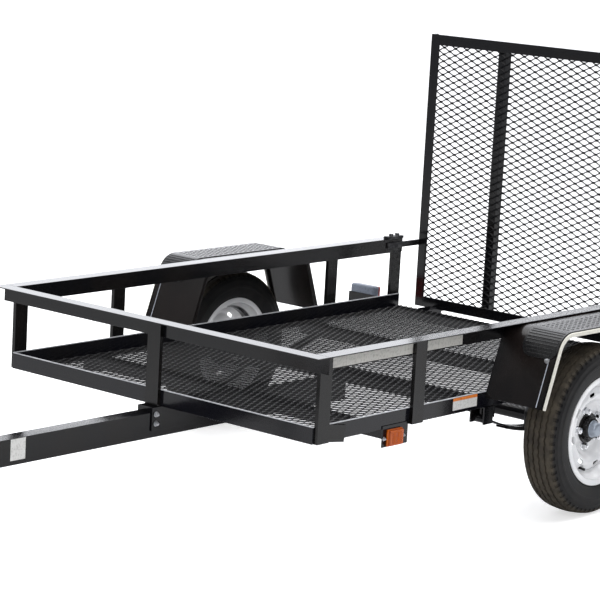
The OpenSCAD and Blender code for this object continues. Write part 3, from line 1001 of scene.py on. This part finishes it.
class TRAILER_OT_pads(bpy.types.Operator):
    """Build the ribbed step pads over the fenders' shoulders"""

    bl_idname = "trailer.pads"
    bl_label = "Step pads"

    def execute(self, context):
        lo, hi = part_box("left_fender")
        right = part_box("step_pads")[1].x
        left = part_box("left_top_rail")[1].x + 0.036
        wide, centre_x, mid = right - left, (left + right) / 2, (lo.y + hi.y) / 2
        profile = fender_profile(-0.0028, (lo, hi), PAD_START)
        corner = min(0.072, 0.46 * wide)
        pad = strip_along("left_step_pad", profile, left, wide)
        ends = (profile[0], profile[-1])
        pick(pad, "VERT", lambda co: any(math.hypot(co.y - y, co.z - z) < 1e-4 for y, z in ends))
        bpy.ops.mesh.bevel(offset=corner, segments=10, affect="VERTICES", clamp_overlap=True)
        object_mode()
        modify(pad, "SOLIDIFY", thickness=0.0026, offset=-1)
        bevel(pad, 0.0007, 1, 60)
        parts = [pad]
        # ribs across the front and rear shoulders, shorter towards the rounded ends
        rib = rod("rib", (left + 0.006, 0, 0), (right - 0.006, 0, 0), 0.0024, 8)
        path = [Vector((0, y, z)) for y, z in fender_profile(-0.0022, (lo, hi), PAD_START)]
        path = path[: len(path) // 2]
        lengths = [0.0]
        for a, b in zip(path, path[1:]):
            lengths.append(lengths[-1] + (b - a).length)
        for i in range(RIBS):
            along = 0.010 + RIB_GAP * i
            k = max(j for j, run in enumerate(lengths[:-1]) if run <= along)
            share = (along - lengths[k]) / (lengths[k + 1] - lengths[k])
            spot = path[k].lerp(path[k + 1], share)
            cut = max(0.0, corner - 0.004 - along)
            short = corner - math.sqrt(max(0.0, corner**2 - cut**2))
            narrow = Matrix.Diagonal((1 - 2 * short / wide, 1, 1, 1))
            for side in (1, -1):
                place = (centre_x, mid + side * (spot.y - mid), spot.z)
                placed = Matrix.Translation(place) @ narrow @ Matrix.Translation((-centre_x, 0, 0))
                parts.append(copy_at(rib, f"rib_{i}_{side}", placed))
        bpy.data.objects.remove(rib)
        # raised diamonds on the flat top
        deselect()
        bpy.ops.mesh.primitive_cone_add(
            vertices=4,
            radius1=0.0085,
            radius2=0.0055,
            depth=0.0016,
            location=(left + 0.016, mid - 0.190, hi.z + 0.0034),
        )
        stud = bpy.context.object
        stud.name = "diamonds"
        stud.scale = (0.62, 1.25, 1)
        settle(stud)
        repeat(stud, int((wide - 0.024) / STUD_GAP_X) + 1, (STUD_GAP_X, 0, 0))
        repeat(stud, STUD_ROWS, (0, STUD_GAP_Y, 0))
        pad = smooth(join("left_step_pad", parts + [stud]))
        finish_pair(pad, "pad_rubber", ["step_pads"])
        return {"FINISHED"}


# ---- lamps, labels and bolts ----

# flutes and ridges in the lenses, a label's thickness and how deep it beds into the paint
FLUTES = 11
RIDGES = 9
RIDGE_GAP = 0.007
FILM = 0.0006
BEDDING = 0.0002
# how far up the fender's slope the screw sits
SCREW_START = 0.79


class TRAILER_OT_lamps(bpy.types.Operator):
    """Build the marker lamps and the tail lamps"""

    bl_idname = "trailer.lamps"
    bl_label = "Lamps"

    def execute(self, context):
        lo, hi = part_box("marker_lamps")
        face, seat = hi.x, hi.x - 0.016
        body = block(
            "left_marker_lens", (seat, lo.y, lo.z), (seat + 0.007, hi.y, hi.z), 0.0018, 3
        )
        rim = Vector((0, 0.0025, 0.0025))
        glass = block(
            "glass",
            Vector((seat + 0.005, lo.y, lo.z)) + rim,
            Vector((face, hi.y, hi.z)) - rim,
            0.0035,
            4,
        )
        sink(glass, lambda c, n: n.x > 0.99, 0.0035, 0.0012)
        flute_x = face - 0.0014
        flute = rod("flute", (flute_x, 0, lo.z + 0.009), (flute_x, 0, hi.z - 0.009), 0.0013, 8)
        first, gap = lo.y + 0.011, (hi.y - lo.y - 0.022) / (FLUTES - 1)
        flutes = self.row(flute, FLUTES, (0, first, 0), (0, gap, 0))
        lens_piece = smooth(join("left_marker_lens", [body, glass] + flutes))
        finish_pair(lens_piece, "amber_lens", ["marker_lamps"])

        lo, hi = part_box("tail_lamps")
        inner = hi.x - 0.110
        shell = block(
            "left_tail_housing", (inner, lo.y, lo.z), (hi.x, hi.y - 0.012, hi.z), 0.009, 4
        )
        smooth(shell)
        red = block(
            "left_tail_lens",
            (inner + 0.004, hi.y - 0.013, lo.z + 0.004),
            (hi.x - 0.004, hi.y, hi.z - 0.004),
            0.004,
            3,
        )
        sink(red, lambda c, n: n.y > 0.99, 0.006, 0.0015)
        ridge_y = hi.y - 0.002
        ridge = rod("ridge", (inner + 0.014, ridge_y, 0), (hi.x - 0.014, ridge_y, 0), 0.0016, 8)
        ridges = self.row(ridge, RIDGES, (0, 0, lo.z + 0.016), (0, 0, RIDGE_GAP))
        red = smooth(join("left_tail_lens", [red] + ridges))
        finish_pair(shell, "lamp_housing")
        finish_pair(red, "red_lens", ["tail_lamps"])
        return {"FINISHED"}

    @staticmethod
    def row(piece, count, first, step):
        """Copies of the piece in a row; the piece itself goes."""
        first, step = Vector(first), Vector(step)
        copies = [
            copy_at(piece, f"{piece.name}_{i}", Matrix.Translation(first + step * i))
            for i in range(count)
        ]
        bpy.data.objects.remove(piece)
        return copies


class TRAILER_OT_labels(bpy.types.Operator):
    """Stick the blank labels on, and the pale strips of painted reflection"""

    bl_idname = "trailer.labels"
    bl_label = "Blank labels"

    def execute(self, context):
        sill_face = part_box("left_posts")[0].x
        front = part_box("left_top_rail")[0].y
        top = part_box("left_top_rail")[1].z
        sill_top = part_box("left_sill")[1].z
        axle_y = (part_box("left_tyre")[0].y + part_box("left_tyre")[1].y) / 2
        label_y = (axle_y - 0.486, axle_y - 0.368)
        seam = sill_top - 0.0125
        label = self.film("sill_label", sill_face, label_y, (sill_top - 0.0405, seam))
        band = self.film("sill_label_band", sill_face, label_y, (seam, sill_top - 0.0035))
        # painted reflection: pale film strips on the sill's face, between the posts, stand for the
        # floor's light reflected there
        posts = (front + 0.055, front + 0.4296, front + 0.4804)
        strip_z = (top - 0.0470, top - 0.0065)
        reflection_strip = join(
            "rail_reflection_strip",
            [
                self.film("rail_reflection_strip", sill_face, (posts[0], posts[1] - 0.002), strip_z),
                self.film("rail_reflection_strip", sill_face, (posts[2] + 0.002, front + 0.664), strip_z),
            ],
        )
        tag = self.film("tongue_label", 0.0254, (front - 0.592, front - 0.536), (0.2655, 0.3265))
        for piece, paint in (
            (label, "label_white"),
            (band, "label_orange"),
            (reflection_strip, "strip_beige"),
            (tag, "label_white"),
        ):
            finish_piece(piece, "frame", paint_of(paint))
        return {"FINISHED"}

    @staticmethod
    def film(name, face, across, up):
        """A blank film on an upright face, between two lengths along y and two heights."""
        return block(
            name, (face - BEDDING, across[0], up[0]), (face + FILM, across[1], up[1]), 0.0002, 1
        )


class TRAILER_OT_bolts(bpy.types.Operator):
    """Add the bolts and nuts that hold the pieces together"""

    bl_idname = "trailer.bolts"
    bl_label = "Bolts"

    def execute(self, context):
        lamp_lo, lamp_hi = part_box("marker_lamps")
        fender_lo, fender_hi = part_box("left_fender")
        sill_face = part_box("left_posts")[0].x
        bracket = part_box("tongue_bracket")
        mid = (fender_lo.y + fender_hi.y) / 2
        rise = fender_hi.z - fender_lo.z
        slope = math.atan2(rise, (fender_hi.y - fender_lo.y) / 2 * (1 - FLAT_SHARE))
        bolts = []
        for y in (lamp_lo.y - 0.010, lamp_hi.y + 0.012):
            seat = (sill_face + 0.003, y, lamp_lo.z + 0.024)
            bolts.append(hex_nut("bolt", seat, (1, 0, 0), 0.010, 0.005, 0.003))
        y, z = fender_profile(-0.0028, (fender_lo, fender_hi), SCREW_START)[0]
        for side in (1, -1):
            seat = (fender_hi.x - 0.033, mid + side * (y - mid), z)
            out = (0, -side * math.sin(slope), math.cos(slope))
            bolts.append(hex_nut("bolt", seat, out, 0.013, 0.006, 0.004))
        for share in (0.3, 0.7):
            z = bracket[0].z + share * (bracket[1].z - bracket[0].z)
            seat = (bracket[1].x, bracket[0].y + 0.016, z)
            bolts.append(hex_nut("bolt", seat, (1, 0, 0), 0.014, 0.007, 0.004))
        side_bolts = smooth(join("left_bolts", bolts))
        finish_pair(side_bolts, "zinc")
        return {"FINISHED"}


NODE_PAINTS = {
    "sill_paint": ("front_sill", "left_sill", "right_sill"),
    "post_paint": ("front_post", "left_posts", "right_posts"),
    "fender_paint": ("left_fender", "right_fender"),
    "rubber": ("left_tyre", "right_tyre"),
    "pad_rubber": ("step_pads",),
    "rim_white": ("left_rim", "right_rim"),
    "amber_lens": ("marker_lamps",),
    "red_lens": ("tail_lamps",),
    "zinc": ("jack_tube", "jack_leg", "coupler_latch"),
    "dark_steel": ("axle_clamps", "gate_latches", "jack_mount", "left_hub", "right_hub"),
}


class TRAILER_OT_paint(bpy.types.Operator):
    """Paint the steel that carries over"""

    bl_idname = "trailer.paint"
    bl_label = "Paint the frame"

    def execute(self, context):
        chosen = {node: paint for paint, nodes in NODE_PAINTS.items() for node in nodes}
        for name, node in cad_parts.items():
            material = paint_of(chosen.get(name, "black_paint"))
            node.data.materials.clear()
            node.data.materials.append(material)
            weld = node.modifiers.new("weld", "WELD")
            weld.merge_threshold = 1e-5
            ease = node.modifiers.new("ease", "BEVEL")
            ease.width, ease.segments = 0.0009, 2
            ease.limit_method, ease.angle_limit = "ANGLE", math.radians(40)
        return {"FINISHED"}


# ---- studio ----

# name, place, height of its aim on the middle line, size and watts
LIGHTS = (
    ("overhead", (0.2, 0.6, 5.5), 0, 6.0, 330),
    ("front_left", (5.5, -4.5, 4.4), 0.4, 2.6, 150),
    ("front_right", (-5.0, -3.5, 4.6), 0.4, 2.4, 60),
    ("rear", (1.0, 6.5, 4.6), 0.6, 2.6, 90),
)
EYE = (4.9223, -5.64485, 1.9548)
# degrees round the trailer, above the ground and about the line of sight
EYE_ANGLES = (40.4456, 10.1804, 3.1871)


class TRAILER_OT_stage(bpy.types.Operator):
    """Set the floor, the light and the camera"""

    bl_idname = "trailer.stage"
    bl_label = "Studio"

    def execute(self, context):
        look = context.scene.trailer_stage
        deselect()
        bpy.ops.mesh.primitive_circle_add(
            vertices=96, radius=60, fill_type="NGON", location=(0, 0, -0.001)
        )
        floor = bpy.context.object
        floor.name = "studio_floor"
        colour = tuple(look.floor_colour)
        pale = Finish("studio_floor", colour, 0.7)
        pale.set("Base Color", pale.mix(pale.noise(1.5), colour, (0.78, 0.78, 0.785)))
        ray = pale.node("ShaderNodeLightPath")
        glow = pale.node(
            "ShaderNodeEmission", {}, {"Color": (1.0, 1.0, 1.0), "Strength": look.floor_glow}
        )
        blend = pale.node("ShaderNodeAddShader")
        clear = pale.node("ShaderNodeMixShader", {}, {0: ray.outputs["Is Camera Ray"]})
        for source, target in (
            (glow, clear.inputs[2]),
            (pale.shader, blend.inputs[0]),
            (clear, blend.inputs[1]),
            (blend, pale.output.inputs[0]),
        ):
            pale.tree.links.new(source.outputs[0], target)
        floor.data.materials.append(pale.material)

        context.scene.view_settings.view_transform = "Standard"
        world = bpy.data.worlds.new("studio")
        world.use_nodes = True
        self.sky(world.node_tree)
        context.scene.world = world
        for name, place, aim, size, power in LIGHTS:
            lamp = bpy.data.lights.new(name, "AREA")
            lamp.size, lamp.energy = size, power
            light = bpy.data.objects.new(name, lamp)
            context.scene.collection.objects.link(light)
            light.location = place
            sight = Vector((0, 0, aim)) - Vector(place)
            light.rotation_euler = sight.to_track_quat("-Z", "Y").to_euler()

        camera = bpy.data.cameras.new("camera")
        camera.lens = look.lens_mm
        camera.sensor_width = 36
        camera.clip_end = 200
        eye = bpy.data.objects.new("camera", camera)
        context.scene.collection.objects.link(eye)
        azimuth, elevation, roll = (math.radians(angle) for angle in EYE_ANGLES)
        level = math.cos(elevation)
        back = Vector((math.sin(azimuth) * level, -math.cos(azimuth) * level, math.sin(elevation)))
        right = (-back).cross(Vector((0, 0, 1))).normalized()
        up = right.cross(-back)
        turned = math.cos(roll) * right + math.sin(roll) * up
        up = -math.sin(roll) * right + math.cos(roll) * up
        axes = Matrix((turned, up, back)).transposed().to_4x4()
        eye.matrix_world = Matrix.Translation(EYE) @ axes
        context.scene.camera = eye
        return {"FINISHED"}

    @staticmethod
    def sky(tree):
        """White to the eye; to the paint, bright behind the trailer and dim in front."""
        back = tree.nodes["Background"]
        place = tree.nodes.new("ShaderNodeTexCoord")
        ray = tree.nodes.new("ShaderNodeLightPath")
        facing = tree.nodes.new("ShaderNodeVectorMath")
        facing.operation = "DOT_PRODUCT"
        facing.inputs[1].default_value = (-0.63, 0.74, 0.24)
        ramp = tree.nodes.new("ShaderNodeMapRange")
        ramp.interpolation_type = "SMOOTHSTEP"
        limits = {"From Min": 0.30, "From Max": 0.92, "To Min": 0.20, "To Max": 2.4}
        for name, value in limits.items():
            ramp.inputs[name].default_value = value
        level = tree.nodes.new("ShaderNodeMix")
        level.data_type = "FLOAT"
        level.inputs[3].default_value = 1.1
        back.inputs[0].default_value = (0.94, 0.955, 1.0, 1)
        for source, target in (
            (place.outputs["Generated"], facing.inputs[0]),
            (facing.outputs["Value"], ramp.inputs["Value"]),
            (ray.outputs["Is Camera Ray"], level.inputs[0]),
            (ramp.outputs[0], level.inputs[2]),
            (level.outputs[0], back.inputs[1]),
        ):
            tree.links.new(source, target)


class TRAILER_PT_panel(bpy.types.Panel):
    """Lists the trailer's pieces"""

    bl_idname = "TRAILER_PT_panel"
    bl_label = "Utility trailer"
    bl_space_type = "VIEW_3D"
    bl_region_type = "UI"
    bl_category = "Trailer"

    def draw(self, context):
        for name in TrailerSizes.__annotations__:
            self.layout.prop(context.scene.trailer_sizes, name)
        for name in StageLook.__annotations__:
            self.layout.prop(context.scene.trailer_stage, name)
        for operator in PIECES:
            self.layout.operator(operator.bl_idname)


PIECES = (
    TRAILER_OT_stage,
    TRAILER_OT_paint,
    TRAILER_OT_floor,
    TRAILER_OT_gate,
    TRAILER_OT_tyres,
    TRAILER_OT_rims,
    TRAILER_OT_hubs,
    TRAILER_OT_fenders,
    TRAILER_OT_pads,
    TRAILER_OT_lamps,
    TRAILER_OT_labels,
    TRAILER_OT_bolts,
)
CLASSES = (TrailerSizes, StageLook) + PIECES + (TRAILER_PT_panel,)


def register():
    for cls in CLASSES:
        bpy.utils.register_class(cls)
    bpy.types.Scene.trailer_sizes = bpy.props.PointerProperty(type=TrailerSizes)
    bpy.types.Scene.trailer_stage = bpy.props.PointerProperty(type=StageLook)


def unregister():
    del bpy.types.Scene.trailer_sizes, bpy.types.Scene.trailer_stage
    for cls in reversed(CLASSES):
        bpy.utils.unregister_class(cls)


def main():
    register()
    for operator in PIECES:
        group, action = operator.bl_idname.split(".")
        getattr(getattr(bpy.ops, group), action)()
    object_mode()


if __name__ == "__main__":
    main()
